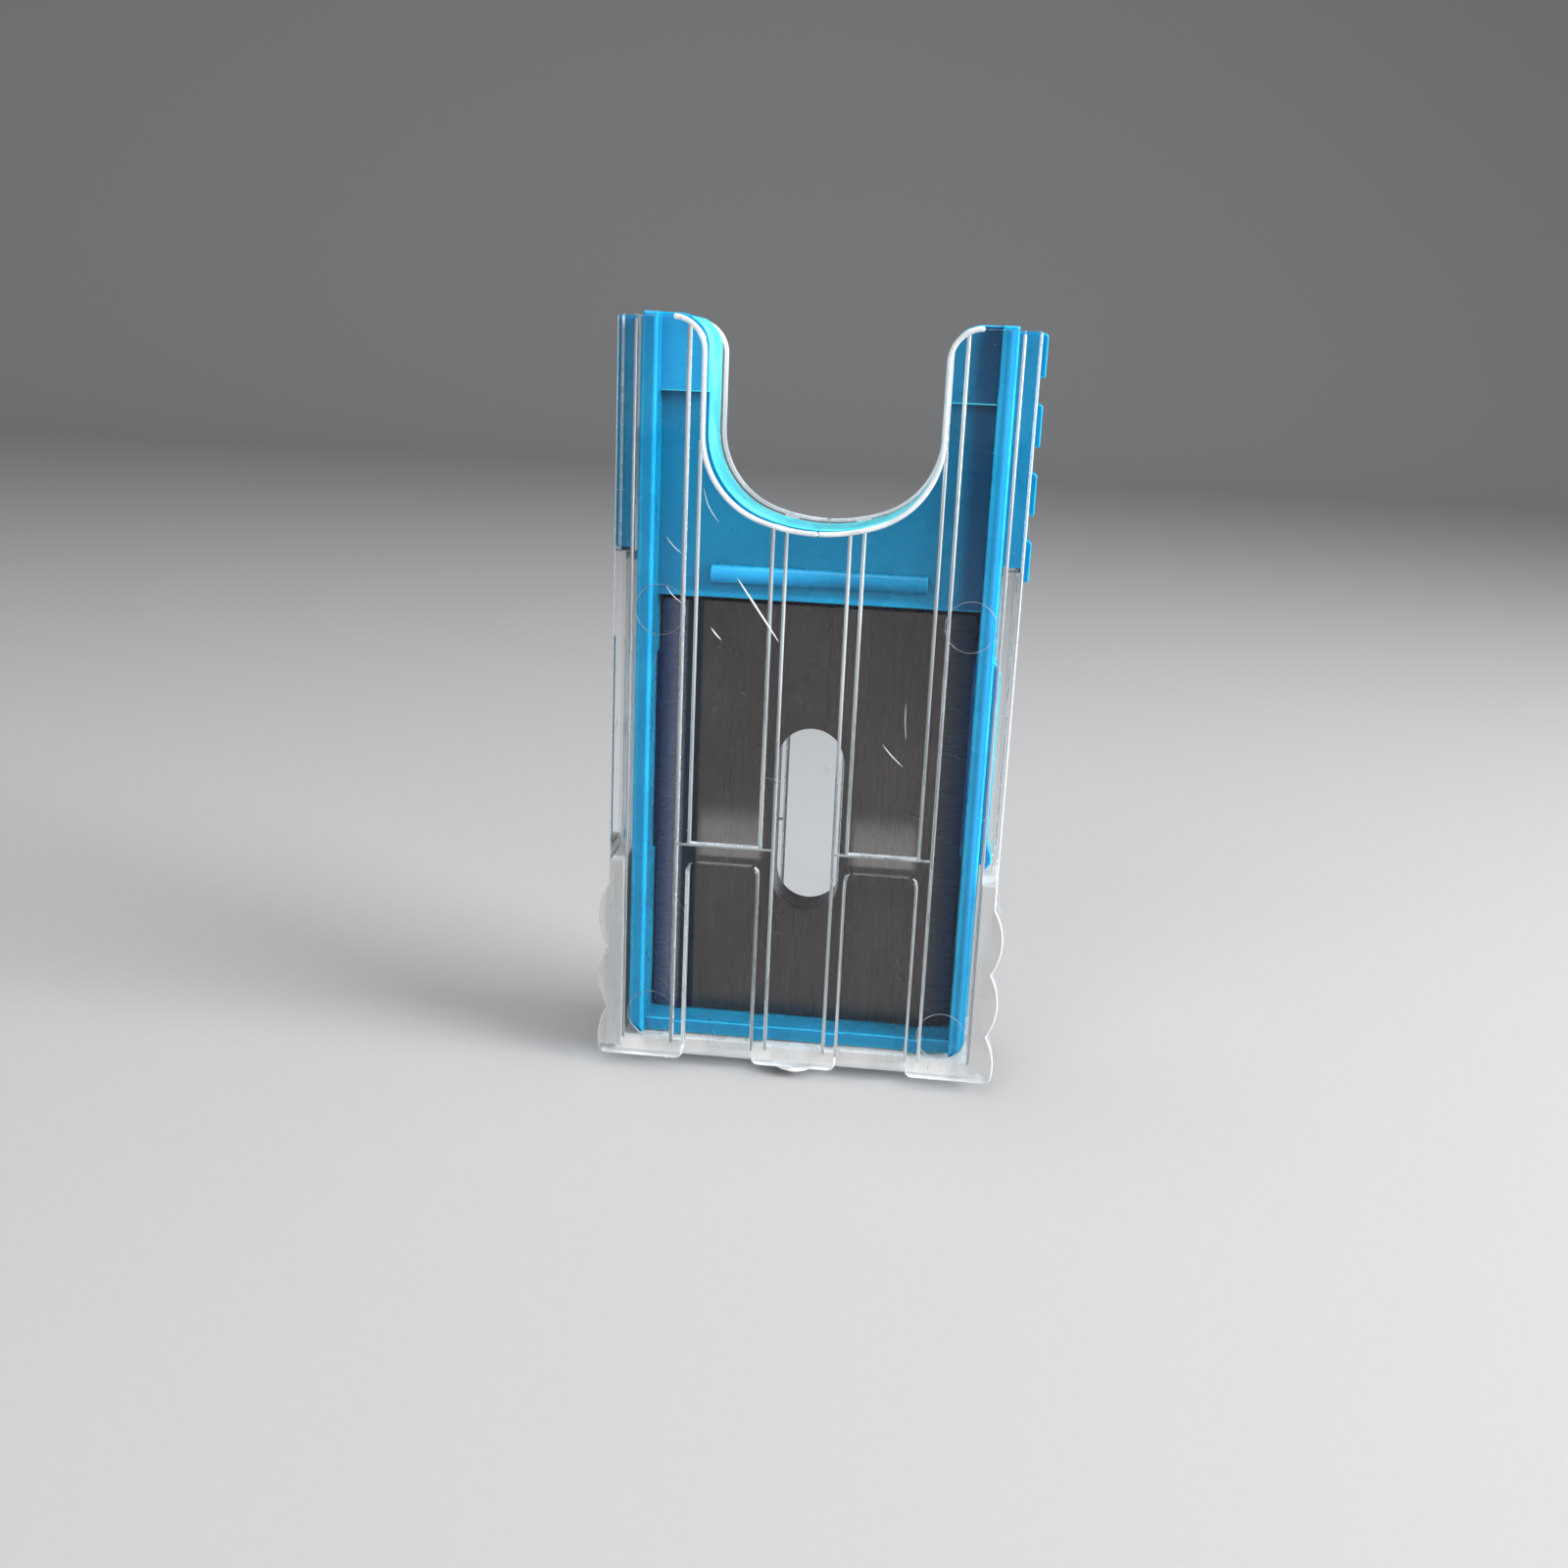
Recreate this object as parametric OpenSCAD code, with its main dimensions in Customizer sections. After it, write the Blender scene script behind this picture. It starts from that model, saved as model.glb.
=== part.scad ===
// Slide-out case for slotted blades: a clear moulded sleeve, a blue sliding tray and a stack of blades.
// Millimetres. +Z is up, the front faces -Y, and the origin is at the bottom centre of the whole part.

/* [Blades] */
// Width of a blade, across its two ground edges
blade_w = 28; // [22:0.5:34]
// Height of a blade
blade_h = 39; // [34:0.1:42]
// Thickness of one blade
blade_t = 0.4; // [0.3:0.05:0.5]
// Number of blades in the stack
blade_count = 10; // [4:1:10]
// Width of the slot through a blade
slot_w = 6.1; // [4:0.1:7]
// Length of the slot through a blade, over its round ends
slot_len = 17.4; // [12:0.1:24]
// How far the centre of the slot lies below the centre of the blade
slot_drop = 0.3; // [0:0.1:1]
// Width of the ground strip along each sharp edge
grind_w = 2.4; // [1:0.1:4]
// Thickness left at the sharp edge
edge_t = 0.08; // [0.04:0.01:0.2]
// Corner radius of a blade
blade_corner = 0.6; // [0.2:0.1:1.5]

/* [Fits] */
// Gap between the blades and the tray wall on each side
blade_gap = 0.2; // [0.1:0.05:0.5]
// Gap between the blades and the bottom wall of the tray
end_gap = 0.1; // [0.05:0.05:0.5]
// Gap above the blades, which lets them be lifted out
lift_gap = 0.5; // [0.1:0.1:1]
// Gap between two blades, and between the last blade and the tray
leaf_gap = 0.02; // [0.01:0.01:0.1]
// Gap between tray and sleeve on each side
side_gap = 0.4; // [0.2:0.05:0.6]
// Gap between tray and sleeve at the front
front_gap = 0.2; // [0.1:0.05:0.4]
// Gap between the tray and the ribs of the back wall
back_gap = 0.15; // [0.1:0.05:0.4]
// Gap between the bottom of the tray and the floor of the sleeve
floor_gap = 0.1; // [0.05:0.05:0.4]
// Gap round a thumb wing or a latch arm in its cut-out
wing_gap = 0.3; // [0.2:0.05:0.5]
// Gap between the latch nub and the bottom of its groove
nub_gap = 0.15; // [0.1:0.05:0.2]
// Gap between the side of the sleeve and the raised grip that hangs over it
overhang_gap = 0.1; // [0.05:0.05:0.15]

/* [Sleeve] */
// Thickness of the front wall and of the back wall
face_wall = 1.2; // [0.8:0.1:1.6]
// Thickness of the side walls
side_wall = 1.4; // [1.3:0.05:2]
// Thickness of the closed bottom
bottom_wall = 1.6; // [1.2:0.1:2.4]
// Height of the sleeve above its bottom face
sleeve_h = 66.1; // [64:0.1:72]
// Radius of the outer bottom corners
foot_r = 0.8; // [0.5:0.1:2.5]
// Radius of the bottom corners beside the finger pockets
toe_r = 0.7; // [0.3:0.1:1.2]
// Height of the guide ribs above the inner faces
rib_h = 1.2; // [0.8:0.1:1.6]
// Width of a guide rib
rib_w = 1.2; // [0.8:0.1:1.6]
// Inner edge of the middle pair of ribs, from the centre
rib_inner = 2.7; // [2:0.1:3.5]
// Inner edge of the outer pair of ribs, from the centre
rib_outer = 10.3; // [9:0.05:10.5]
// Depth of the finger pockets in the outer faces
pocket_d = 1.25; // [0.6:0.05:1.4]
// Height of the finger pockets
pocket_h = 19.1; // [12:0.1:20]
// Radius of the upper corners of a pocket
pocket_r = 0.8; // [0.4:0.1:2]
// Height of the boxed wall behind a pocket
pocket_box_h = 20.6; // [20.5:0.1:30]
// Radius of an ejector mark on the inner front wall
mark_r = 2.2; // [1:0.1:2.4]
// Depth of an ejector mark
mark_d = 0.1; // [0.05:0.05:0.2]
// Distance of the ejector marks from the centre
mark_x = 13.4; // [12:0.1:13.6]
// Heights of the lower and upper ejector marks
mark_heights = [4, 41.7];

/* [Grips and notch] */
// Width of the thumb notch
notch_w = 20.1; // [17:0.1:22]
// Height of the lowest point of the notch above the bottom face
notch_low = 48.95; // [48:0.05:52]
// Radius of the curve along the bottom of the notch
notch_bottom_r = 15; // [12:0.5:20]
// Radius of the curve that joins the bottom of the notch to each side
notch_side_r = 7.5; // [5:0.5:8]
// Radius of the rounded corners at the mouth of the notch
mouth_r = 2.7; // [1:0.1:2.8]
// Number of finger bumps low on each side
grip_count = 3; // [1:1:3]
// Distance from one finger bump to the next
grip_pitch = 6; // [5:0.1:6.1]
// Radius of a finger bump
grip_r = 6; // [4.5:0.1:7]
// Height of a finger bump above the side
grip_h = 0.9; // [0.4:0.05:1]
// Height of the centre of the lowest finger bump
grip_low = 1.6; // [0.5:0.1:2]
// Radius of the moulding gate's disc under the bottom
gate_r = 1.9; // [1:0.05:1.9]
// Height of the gate's disc
gate_h = 0.45; // [0.2:0.05:0.6]
// Radius of the broken stub on the gate
stub_r = 0.6; // [0.3:0.05:1]
// Height of the broken stub
stub_h = 0.75; // [0.1:0.05:1]
// Distance of the gate from the front face
gate_in = 2.1; // [2.1:0.05:6]

/* [Tray] */
// Thickness of the tray's side walls
tray_wall = 1.4; // [1:0.1:2]
// Thickness of the tray's bottom wall and of the wall above the blades
tray_end = 1.3; // [0.8:0.1:2]
// Thickness of the tray's back
tray_back = 0.9; // [0.6:0.1:1.2]
// Depth of the tray from front to back
tray_d = 9.2; // [8.5:0.1:12]
// Radius of the tray's bottom corners
tray_corner = 1.75; // [0.5:0.05:3]
// Height of the tray's top above the top of the sleeve
tray_proud = 0.4; // [0:0.1:2]
// Distance of the head plate from the tray's front edge
plate_in = 2.8; // [2.2:0.1:3.5]
// Thickness of the head plate
plate_t = 1.2; // [0.8:0.1:1.6]
// Height above the bottom face where the head plate steps forward
step_z = 60.1; // [59:0.1:62]
// How far the head plate steps forward
step_d = 1; // [0.3:0.1:1.2]
// Radius of the half-round ridge across the head plate
ridge_r = 0.8; // [0.3:0.05:1]
// Height of the ridge above the lower edge of the head plate
ridge_up = 2.1; // [1.2:0.1:3]
// Length of that ridge
ridge_len = 19; // [10:0.5:22]
// Margin of the window in the tray's back round the blades' slot
window_margin = 0.5; // [0.2:0.1:1]

/* [Wings and latches] */
// Distance of the top of a thumb wing below the top of the tray
wing_down = 0.4; // [0:0.1:1]
// Length of a thumb wing
wing_len = 19.4; // [16:0.1:20]
// Distance of the wings from the tray's front edge
wing_in = 2.6; // [2:0.1:4]
// How far a wing stands out past the side of the sleeve
wing_proud = 0.25; // [0.15:0.05:0.4]
// Number of raised grips on a wing
tread_count = 4; // [2:1:4]
// Distance from one raised grip to the next
tread_pitch = 5.7; // [4:0.05:6]
// Height of a raised grip, measured along the wing
tread_len = 3.6; // [2:0.05:3.9]
// How far a raised grip stands out of its wing
tread_h = 0.45; // [0.3:0.05:0.8]
// Radius of the upper edge of a raised grip
tread_r = 0.4; // [0.1:0.05:0.45]
// Height of the lower end of a latch arm above the bottom face
latch_low = 19.4; // [14:0.1:24]
// Length of a latch arm
latch_len = 17.9; // [12:0.1:20]
// Width of a latch arm
latch_w = 4.4; // [3:0.1:5]
// How far a latch arm stands out of the tray's side
latch_out = 0.8; // [0.4:0.1:0.8]
// Length of the arm's root, joined to the tray's side
latch_root = 1.2; // [0.5:0.1:2]
// Width of the slit round a latch arm
slit_w = 0.6; // [0.4:0.1:0.8]
// Height of the nub at the end of a latch arm, along the arm
nub_len = 2.4; // [1.5:0.1:4]
// How far the nub stands out of its arm
nub_h = 0.45; // [0.2:0.05:0.45]

/* [Hidden] */
$fn = 64;
// Overlap of a cut past the face that it opens
over = 1;

// Widths, from the blades outwards
bay_w = blade_w + 2 * blade_gap;
tray_w = bay_w + 2 * tray_wall;
cavity_w = tray_w + 2 * side_gap;
sleeve_w = cavity_w + 2 * side_wall;
wing_x = sleeve_w / 2 + wing_proud;
grip_x = sleeve_w / 2 + grip_h - grip_r;

// Depths, counted from the front face of the sleeve, which lies at -sleeve_d / 2
rib_front = face_wall + rib_h;
tray_front = face_wall + front_gap;
tray_rear = tray_front + tray_d;
sleeve_d = tray_rear + back_gap + rib_h + face_wall;
front_y = -sleeve_d / 2;
back_rest = tray_rear - tray_back;
inset_front = rib_front + front_gap;
plate_front = tray_front + plate_in;
wing_front = tray_front + wing_in;
latch_mid = (wing_front + tray_rear) / 2;
groove_w = tray_w + 2 * (latch_out + nub_h + nub_gap);

// Heights, counted from the bottom face of the sleeve, which lies at base_z
base_z = gate_h + stub_h;
tray_low = bottom_wall + floor_gap;
bay_low = tray_low + tray_end;
bay_h = blade_h + end_gap + lift_gap;
bay_top = bay_low + bay_h;
tray_top = sleeve_h + tray_proud;
// The two curves of the notch touch where the line through their centres meets them
notch_side_x = notch_w / 2 - notch_side_r;
notch_bottom_z = notch_low + notch_bottom_r;
notch_side_z = notch_bottom_z - sqrt(pow(notch_bottom_r - notch_side_r, 2) - pow(notch_side_x, 2));
blade_low = bay_low + end_gap;
slot_low = (blade_h - slot_len) / 2 - slot_drop;
window_low = blade_low + slot_low;
wing_top = tray_top - wing_down;
wing_low = wing_top - wing_len;
ridge_z = bay_top + ridge_up;

// Colours of the three materials
CLEAR = [0.86, 0.90, 0.93, 0.4];
BLUE = [0.10, 0.50, 0.76];
STEEL = [0.22, 0.21, 0.21];

// Moves a shape from the sleeve's own measures to the part's frame
module placed() {
    translate([0, front_y, base_z]) children();
}

// Carries an outline drawn in X and Z along Y, from depth y0 to depth y1
module along_y(y0, y1) {
    translate([0, y1, 0]) rotate([90, 0, 0]) linear_extrude(height = y1 - y0) children();
}

// A block given by its width limits, depth limits and height limits
module block(xs, ys, zs) {
    translate([xs[0], ys[0], zs[0]]) cube([xs[1] - xs[0], ys[1] - ys[0], zs[1] - zs[0]]);
}

// The same shape on both sides of the centre plane
module both_sides() {
    children();
    mirror([1, 0, 0]) children();
}

// The same shape on the front half and on the back half of the sleeve
module both_faces() {
    children();
    translate([0, sleeve_d, 0]) mirror([0, 1, 0]) children();
}

// Outline of a rectangle w wide, from z0 to z1, with its two lower corners rounded to radius r
module footed(w, z0, z1, r) {
    translate([-w / 2, z0 + r]) square([w, z1 - z0 - r]);
    translate([-w / 2 + r, z0]) square([w - 2 * r, 2 * r]);
    for (side = [-1, 1]) translate([side * (w / 2 - r), z0 + r]) circle(r);
}

// What rounding to radius r takes off a square corner at the origin, whose sides lie along +X and +Z
module corner_waste(r) {
    difference() {
        translate([-r, -r]) square(2 * r);
        translate([r, r]) circle(r);
    }
}

// Outline of the thumb notch, grown by grow: a shallow curve with a side curve at each end, and straight sides
module notch_outline(z_top, grow) {
    reach = 2 * notch_bottom_r;
    slope = notch_side_x / (notch_bottom_z - notch_side_z);
    for (side = [-1, 1]) translate([side * notch_side_x, notch_side_z]) circle(notch_side_r + grow);
    translate([-notch_w / 2 - grow, notch_side_z]) square([notch_w + 2 * grow, z_top - notch_side_z + over]);
    intersection() {
        translate([0, notch_bottom_z]) circle(notch_bottom_r + grow);
        translate([0, notch_bottom_z]) polygon([[0, 0], [-slope * reach, -reach], [slope * reach, -reach]]);
    }
}

// The notch with the rounded corners of its mouth
module notch_cut(z_top) {
    notch_outline(z_top, 0);
    for (side = [0, 1]) mirror([side, 0])
        translate([notch_w / 2, z_top]) mirror([0, 1]) corner_waste(mouth_r);
}

// Outline of a slot with round ends, w wide and len long, whose lower end is at z0
module slot_outline(w, len, z0) {
    translate([-w / 2, z0 + w / 2]) square([w, len - w]);
    for (z = [z0 + w / 2, z0 + len - w / 2]) translate([0, z]) circle(w / 2);
}

// ---- Sleeve ----

// Outer outline: the straight body with the finger bumps, inside a rectangle with rounded feet
module sleeve_outline() {
    intersection() {
        footed(sleeve_w + 2 * grip_h, 0, sleeve_h, foot_r);
        union() {
            translate([-sleeve_w / 2, 0]) square([sleeve_w, sleeve_h]);
            for (side = [-1, 1], i = [0:grip_count - 1])
                translate([side * grip_x, grip_low + i * grip_pitch]) circle(grip_r);
        }
    }
}

// Outline of one finger pocket, open at the bottom between two rounded toes
module pocket_outline() {
    x0 = rib_inner + rib_w;
    x1 = rib_outer;
    translate([x0, -over]) square([x1 - x0, pocket_h - pocket_r + over]);
    translate([x0 + pocket_r, 0]) square([x1 - x0 - 2 * pocket_r, pocket_h]);
    for (x = [x0 + pocket_r, x1 - pocket_r]) translate([x, pocket_h - pocket_r]) circle(pocket_r);
    translate([x0, 0]) mirror([1, 0]) corner_waste(toe_r);
    translate([x1, 0]) corner_waste(toe_r);
}

// Guide ribs and the boxed walls behind the finger pockets, on the inside of one face
module face_ribs() {
    ys = [face_wall / 2, rib_front];
    for (x = [rib_inner, rib_outer]) block([x, x + rib_w], ys, [bottom_wall / 2, sleeve_h]);
    block([rib_inner, rib_outer + rib_w], ys, [bottom_wall / 2, pocket_box_h]);
}

// Ejector marks, sunk into the inner front wall clear of the ribs
module ejector_marks() {
    for (z = mark_heights) translate([mark_x, face_wall + mark_d, z])
        rotate([90, 0, 0]) cylinder(r = mark_r, h = 2 * mark_d);
}

// Cut-out of one side wall for a thumb wing, and the groove below it for the latch arm and its nub
module side_openings() {
    x0 = cavity_w / 2 - over;
    half = latch_w / 2 + wing_gap;
    block([x0, sleeve_w / 2 + over], [wing_front - wing_gap, tray_rear + wing_gap],
        [wing_low - wing_gap, sleeve_h + over]);
    block([x0, groove_w / 2], [latch_mid - half, latch_mid + half], [latch_low - wing_gap, wing_low]);
}

// The disc and broken stub where the moulding was fed
module gate() {
    translate([0, gate_in, -gate_h]) cylinder(r = gate_r, h = gate_h + bottom_wall / 2);
    translate([0, gate_in, -gate_h - stub_h]) cylinder(r = stub_r, h = stub_h + gate_h);
}

module sleeve() {
    color(CLEAR) placed() {
        difference() {
            union() {
                difference() {
                    along_y(0, sleeve_d) sleeve_outline();
                    block([-cavity_w / 2, cavity_w / 2], [face_wall, sleeve_d - face_wall],
                        [bottom_wall, sleeve_h + over]);
                    both_sides() ejector_marks();
                }
                both_sides() both_faces() face_ribs();
            }
            both_sides() both_faces() along_y(-over, pocket_d) pocket_outline();
            both_sides() side_openings();
            along_y(-over, sleeve_d + over) notch_cut(sleeve_h);
        }
        gate();
    }
}

// ---- Tray ----

// Space for the blades, open to the front
module blade_bay() {
    block([-bay_w / 2, bay_w / 2], [tray_front - over, back_rest], [bay_low, bay_top]);
}

// Space behind the head plate, open to the back, which leaves the walls of the head standing
module head_hollow() {
    z0 = bay_top + tray_end;
    along_y(plate_front + plate_t, tray_rear + over) difference() {
        translate([-bay_w / 2, z0]) square([bay_w, tray_top - tray_end - z0]);
        notch_outline(tray_top, tray_end);
    }
}

// Front of the tray set back between its side walls: behind the ribs below, to the head plate above
module front_recess() {
    block([-bay_w / 2, bay_w / 2], [tray_front - over, inset_front], [tray_low - over, tray_top + over]);
    block([-bay_w / 2, bay_w / 2], [tray_front - over, plate_front], [bay_top, step_z]);
    block([-bay_w / 2, bay_w / 2], [tray_front - over, plate_front - step_d], [bay_top, tray_top + over]);
}

// One raised grip whose top is at z1, rounded at its upper edge. It starts just outside the sleeve's side,
// which the lowest one hangs over below the wing.
module tread(z1) {
    x0 = sleeve_w / 2 + overhang_gap;
    x1 = wing_x + tread_h;
    translate([x0, z1 - tread_len]) square([x1 - x0, tread_len - tread_r]);
    translate([x0, z1 - tread_len]) square([x1 - tread_r - x0, tread_len]);
    translate([x1 - tread_r, z1 - tread_r]) circle(tread_r);
}

// One thumb wing with its raised grips
module wing() {
    x0 = tray_w / 2 - tray_wall / 2;
    along_y(wing_front, tray_rear) {
        translate([x0, wing_low]) square([wing_x - x0, wing_len]);
        for (i = [0:tread_count - 1]) tread(wing_top - i * tread_pitch);
    }
}

// Opening of the side wall that frees one latch arm on three sides
module latch_opening() {
    half = latch_w / 2 + slit_w;
    block([bay_w / 2 - over, tray_w / 2 + over], [latch_mid - half, latch_mid + half],
        [latch_low - slit_w, latch_low + latch_len]);
}

// One latch arm, hung from its root at the top, with a wedge-shaped nub at its free end
module latch_arm() {
    x1 = tray_w / 2 + latch_out;
    x0 = x1 - tray_wall;
    z1 = latch_low + latch_len + latch_root;
    along_y(latch_mid - latch_w / 2, latch_mid + latch_w / 2) {
        polygon([[x0, latch_low], [x1, latch_low], [x1, z1 - latch_root], [tray_w / 2, z1], [x0, z1]]);
        polygon([[x1, latch_low], [x1 + nub_h, latch_low + nub_len / 4],
            [x1 + nub_h, latch_low + nub_len / 2], [x1, latch_low + nub_len],
            [x0, latch_low + nub_len], [x0, latch_low]]);
    }
}

module tray() {
    color(BLUE) placed() {
        difference() {
            union() {
                difference() {
                    along_y(tray_front, tray_rear) footed(tray_w, tray_low, tray_top, tray_corner);
                    blade_bay();
                    head_hollow();
                    front_recess();
                }
                both_sides() wing();
                translate([-ridge_len / 2, plate_front, ridge_z])
                    rotate([0, 90, 0]) cylinder(r = ridge_r, h = ridge_len);
            }
            along_y(tray_front - over, tray_rear + over) notch_cut(tray_top);
            along_y(back_rest - over, tray_rear + over) slot_outline(slot_w + 2 * window_margin,
                slot_len + 2 * window_margin, window_low - window_margin);
            both_sides() latch_opening();
        }
        both_sides() latch_arm();
    }
}

// ---- Blades ----

// One blade in the X and Y plane of its cross-section: full thickness, ground thin towards both long edges
module blade_section() {
    x1 = blade_w / 2;
    x0 = x1 - grind_w;
    y0 = (blade_t - edge_t) / 2;
    y1 = y0 + edge_t;
    polygon([[-x1, y0], [-x0, 0], [x0, 0], [x1, y0], [x1, y1], [x0, blade_t], [-x0, blade_t], [-x1, y1]]);
}

// Blade number i of the stack, where 1 lies against the tray's back
module blade(i) {
    y = back_rest - i * (blade_t + leaf_gap);
    color(STEEL) placed() translate([0, y, blade_low]) difference() {
        linear_extrude(height = blade_h) blade_section();
        along_y(-over, blade_t + over) slot_outline(slot_w, slot_len, slot_low);
        along_y(-over, blade_t + over) for (left = [0, 1], top = [0, 1]) mirror([left, 0])
            translate([-blade_w / 2, top * blade_h]) mirror([0, top]) corner_waste(blade_corner);
    }
}

sleeve();
tray();
for (i = [1:blade_count]) blade(i);
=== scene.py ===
"""Dresses the slide-out blade case: a clear moulded sleeve, a blue sliding tray and a stack of slotted blades."""

import logging
import math
from dataclasses import dataclass
from enum import Enum, IntEnum

import bmesh
import bpy
import numpy as np
from bpy.types import Material, Mesh, Node, NodeSocket, NodeTree, Object
from mathutils import Matrix, Vector


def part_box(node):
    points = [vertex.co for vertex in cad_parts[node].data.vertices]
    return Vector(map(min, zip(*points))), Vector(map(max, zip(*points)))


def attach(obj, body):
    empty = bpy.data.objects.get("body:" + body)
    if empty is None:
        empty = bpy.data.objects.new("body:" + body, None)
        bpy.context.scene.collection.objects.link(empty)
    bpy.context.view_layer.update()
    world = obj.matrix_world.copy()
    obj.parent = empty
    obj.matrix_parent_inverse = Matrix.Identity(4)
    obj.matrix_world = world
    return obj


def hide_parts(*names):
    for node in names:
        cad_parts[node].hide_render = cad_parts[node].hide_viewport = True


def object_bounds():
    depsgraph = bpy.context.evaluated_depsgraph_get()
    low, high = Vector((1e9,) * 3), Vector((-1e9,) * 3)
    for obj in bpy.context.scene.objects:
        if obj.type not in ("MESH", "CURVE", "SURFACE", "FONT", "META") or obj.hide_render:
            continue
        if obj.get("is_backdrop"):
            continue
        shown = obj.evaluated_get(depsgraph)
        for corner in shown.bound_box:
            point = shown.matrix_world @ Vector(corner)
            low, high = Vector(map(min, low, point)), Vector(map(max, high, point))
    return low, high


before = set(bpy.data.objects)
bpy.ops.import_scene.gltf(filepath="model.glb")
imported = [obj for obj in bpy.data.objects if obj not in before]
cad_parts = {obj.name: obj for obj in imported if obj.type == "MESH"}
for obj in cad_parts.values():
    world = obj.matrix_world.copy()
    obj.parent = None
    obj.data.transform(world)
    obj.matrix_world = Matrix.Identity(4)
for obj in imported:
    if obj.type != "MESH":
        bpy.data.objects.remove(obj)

log = logging.getLogger("blade_case")
# Metres in a millimetre
MM = 0.001
# Angle in degrees past which an edge is a crease and not part of a round surface
CREASE = 28
# Material number that a rounding has until its piece chooses the finishes
ROUNDING = 1
# Cosine of the angle within which two normals count as one
SAME_WAY = 0.99995
# Cosine of the widest angle between a rounding's face and a normal that it takes over
NEAR_WAY = 0.55
# Rounds in which neighbouring corners agree on their group
GROUP_ROUNDS = 64
# Part of a face's normal along an axis: below ASIDE the face looks away from the axis, above ALONG it looks along it
ASIDE = 0.3
ALONG = 0.9
# Points of one arc of a path, and of a line that has to be finer
ARC_POINTS = 21
FINE_POINTS = 49
# Angles round a bead or a scratch
AROUND = np.linspace(0.0, 2 * math.pi, 10, endpoint=False)

Pair = tuple[float, float]
Triple = tuple[float, float, float]
# Red, green and blue
Colour = Triple
# Where a soft-edged stretch starts, is full, is last full and ends
Stretch = tuple[float, float, float, float]
# Points in metres, one row each, and corner numbers, one row per face
Surface = tuple[np.ndarray, np.ndarray]


class Slot(Enum):
    """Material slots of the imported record."""

    CLEAR = "clear_plastic"
    BLUE = "blue_plastic"
    STEEL = "blade_steel"


class Body(Enum):
    """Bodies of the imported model: what stands still and what slides."""

    SLEEVE = "sleeve_body"
    TRAY = "tray_body"


# ---- Node trees ----


class Tree:
    """A node tree with short ways to add nodes and to join them."""

    def __init__(self, tree: NodeTree) -> None:
        """Takes the tree over and empties it.

        Args:
            tree: The node tree of a material, a world or a group.
        """
        self.tree = tree
        tree.nodes.clear()

    def add(self, kind: str, settings: dict | None = None, **inputs: object) -> Node:
        """Adds one node.

        Args:
            kind: Node type without its ShaderNode prefix.
            settings: Properties of the node, such as an operation.
            inputs: Values or sockets for inputs, by name with _ for each space.

        Returns:
            The new node.
        """
        node = self.tree.nodes.new("ShaderNode" + kind)
        for name, value in (settings or {}).items():
            setattr(node, name, value)
        for name, value in inputs.items():
            self.feed(node.inputs[name.replace("_", " ")], value)
        return node

    def feed(self, socket: NodeSocket, value: object) -> None:
        """Sets an input socket.

        Args:
            socket: The input.
            value: An output socket to join it to, or a plain value.
        """
        if isinstance(value, NodeSocket):
            self.tree.links.new(value, socket)
        else:
            socket.default_value = (*value, 1.0) if socket.type == "RGBA" else value

    def maths(self, operation: str, *values: object) -> NodeSocket:
        """Joins values with a Math node.

        Args:
            operation: Name of the operation.
            values: One to three numbers or output sockets.

        Returns:
            The result's socket.
        """
        node = self.add("Math", {"operation": operation})
        for socket, value in zip(node.inputs, values):
            self.feed(socket, value)
        return node.outputs[0]

    def ramp(self, value: object, low: object, high: object, at_low: float = 0.0, at_high: float = 1.0) -> NodeSocket:
        """Carries a value smoothly from one range to another and holds it there.

        Args:
            value: Output socket that is read.
            low: Value that gives at_low.
            high: Value that gives at_high.
            at_low: Result at and below low.
            at_high: Result at and above high.

        Returns:
            The result's socket.
        """
        return self.add("MapRange", {"interpolation_type": "SMOOTHSTEP"}, Value=value, From_Min=low, From_Max=high,
                        To_Min=at_low, To_Max=at_high).outputs["Result"]

    def blend(self, share: object, first: object, second: object) -> NodeSocket:
        """Blends two colours.

        Args:
            share: Share of the second colour.
            first: Colour or socket at share 0.
            second: Colour or socket at share 1.

        Returns:
            The blended colour's socket.
        """
        node = self.add("Mix", {"data_type": "RGBA"}, Factor=share)
        colours = [socket for socket in node.inputs if socket.type == "RGBA"]
        for socket, value in zip(colours, (first, second)):
            self.feed(socket, value)
        return next(socket for socket in node.outputs if socket.type == "RGBA")

    def turned(self, place: NodeSocket, scale: Triple, angle: float = 0.0) -> NodeSocket:
        """Turns and then stretches coordinates for a texture.

        Args:
            place: Coordinates.
            scale: Scale along X, Y and Z after the turn.
            angle: Turn about Y in degrees.

        Returns:
            The changed coordinates.
        """
        turn = self.add("Mapping", Vector=place, Rotation=(0.0, math.radians(angle), 0.0))
        return self.add("Mapping", Vector=turn.outputs[0], Scale=scale).outputs[0]

    def noise(self, place: NodeSocket, scale: object, detail: float = 2.0) -> NodeSocket:
        """Adds cloud noise.

        Args:
            place: Coordinates.
            scale: Clouds per metre, as a number or a socket.
            detail: Octaves.

        Returns:
            The noise value, from 0 to 1.
        """
        return self.add("TexNoise", Vector=place, Scale=scale, Detail=detail).outputs[0]

    def finish(self, surface: Node, shade: Colour | None = None) -> None:
        """Ends a material with its surface.

        Args:
            surface: The surface's shader node.
            shade: Share of the lamps' light that a clear surface lets through, or None for one that stops it.
        """
        if shade:
            through = self.add("BsdfTransparent", Color=shade)
            mix = self.add("MixShader", Fac=self.add("LightPath").outputs["Is Shadow Ray"])
            self.feed(mix.inputs[1], surface.outputs[0])
            self.feed(mix.inputs[2], through.outputs[0])
            surface = mix
        self.add("OutputMaterial", Surface=surface.outputs[0])


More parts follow.
